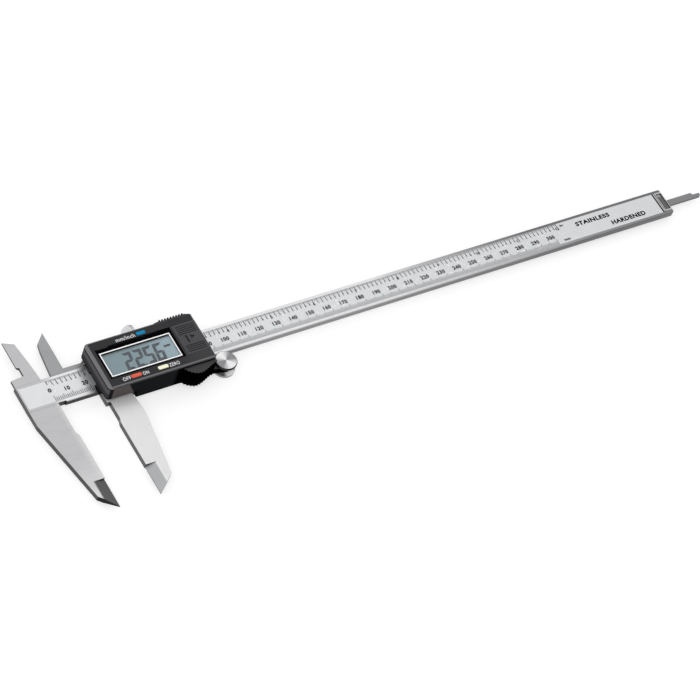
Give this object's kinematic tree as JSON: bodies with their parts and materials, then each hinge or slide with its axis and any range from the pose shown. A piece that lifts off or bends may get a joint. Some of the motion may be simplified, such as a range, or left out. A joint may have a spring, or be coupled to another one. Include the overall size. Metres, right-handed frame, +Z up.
{
  "type": "digital caliper",
  "caption": "Sliding caliper with outside and inside jaws, depth rod, thumb roller, lock screw and digital display.",
  "frame": {"origin": "centre of the bounding box, on the plane under the lowest point (the thumb roller's lower disc)", "axes": "+X along the beam towards the depth rod's tip, +Y towards the inside jaws, +Z up out of the display"},
  "size_m": [0.4132, 0.1048, 0.017],
  "materials": {
    "beam_steel": "ground satin",
    "strip_board": "laminate",
    "label_foil": "satin silver foil, printed in black",
    "stop_steel": "satin",
    "screw_steel": "satin",
    "slider_steel": "ground satin",
    "cover_steel": "satin",
    "rod_steel": "satin",
    "gib_bronze": "machined",
    "housing_plastic": "fine moulded texture",
    "window_clear": "polished, white printed border",
    "lcd_glass": "reflective grey display",
    "holder_plastic": "moulded",
    "zebra_rubber": "matt",
    "board_laminate": "solder mask",
    "chip_resin": "cast resin",
    "component_metal": "satin",
    "switch_plastic": "moulded",
    "battery_steel": "plated",
    "contact_nickel": "plated spring strip",
    "button_red": "moulded",
    "button_yellow": "moulded",
    "button_blue": "moulded",
    "plunger_plastic": "moulded",
    "cover_plastic": "fine moulded texture",
    "knob_steel": "turned and knurled",
    "roller_steel": "turned"
  },
  "bodies": {
    "beam": {"main_beam": "beam_steel", "scale_strip": "strip_board", "scale_label": "label_foil", "end_stop_plate": "stop_steel", "end_stop_screw": "screw_steel"},
    "slider": {"slider_frame": "slider_steel", "rear_cover_plate": "cover_steel", "rear_cover_screws": "screw_steel", "depth_rod": "rod_steel", "depth_rod_rivets": "screw_steel", "gib_strip": "gib_bronze", "gib_set_screws": "screw_steel", "housing_shell": "housing_plastic", "housing_screws": "screw_steel", "display_window": "window_clear", "lcd_glass": "lcd_glass", "lcd_holder": "holder_plastic", "zebra_strips": "zebra_rubber", "sensor_board": "board_laminate", "board_screws": "screw_steel", "reading_chip": "chip_resin", "board_components": "component_metal", "button_switches": "switch_plastic", "battery": "battery_steel", "battery_plus_contact": "contact_nickel", "battery_minus_contact": "contact_nickel"},
    "roller": {"roller_upper_disc": "roller_steel", "roller_lower_disc": "roller_steel", "roller_spring_washer": "screw_steel"},
    "lock_screw": {"lock_screw": "knob_steel"},
    "battery_cover": {"battery_cover": "cover_plastic"},
    "on_off_button": {"on_off_button": "button_red", "on_off_plunger": "plunger_plastic"},
    "zero_button": {"zero_button": "button_yellow", "zero_plunger": "plunger_plastic"},
    "unit_button": {"unit_button": "button_blue", "unit_plunger": "plunger_plastic"}
  },
  "joints": [
    {"name": "slider_slide", "type": "slide", "parent": "beam", "child": "slider", "axis": [1, 0, 0], "range_m": [-0.02256, 0.27744]},
    {"name": "roller_spin", "type": "hinge", "parent": "slider", "child": "roller", "pos_m": [-0.09983, 0.0051, 0.0062], "axis": [0, 0, 1], "range_deg": [-236, 2892]},
    {"name": "lock_screw_turn", "type": "hinge", "parent": "slider", "child": "lock_screw", "pos_m": [-0.13733, 0.0338, 0.0051], "axis": [0, 1, 0], "range_deg": [-60, 300]},
    {"name": "battery_cover_slide", "type": "slide", "parent": "slider", "child": "battery_cover", "axis": [1, 0, 0], "range_m": [0, 0.014]},
    {"name": "on_off_press", "type": "slide", "parent": "slider", "child": "on_off_button", "axis": [0, 0, -1], "range_m": [0, 0.0004], "stiffness_N_per_m": 800, "springref_m": -0.0006},
    {"name": "zero_press", "type": "slide", "parent": "slider", "child": "zero_button", "axis": [0, 0, -1], "range_m": [0, 0.0004], "stiffness_N_per_m": 800, "springref_m": -0.0006},
    {"name": "unit_press", "type": "slide", "parent": "slider", "child": "unit_button", "axis": [0, 0, -1], "range_m": [0, 0.0004], "stiffness_N_per_m": 800, "springref_m": -0.0006}
  ],
  "couplings": [
    {"joint": "roller_spin", "follows": "slider_slide", "rad_per_m": 181.82}
  ]
}
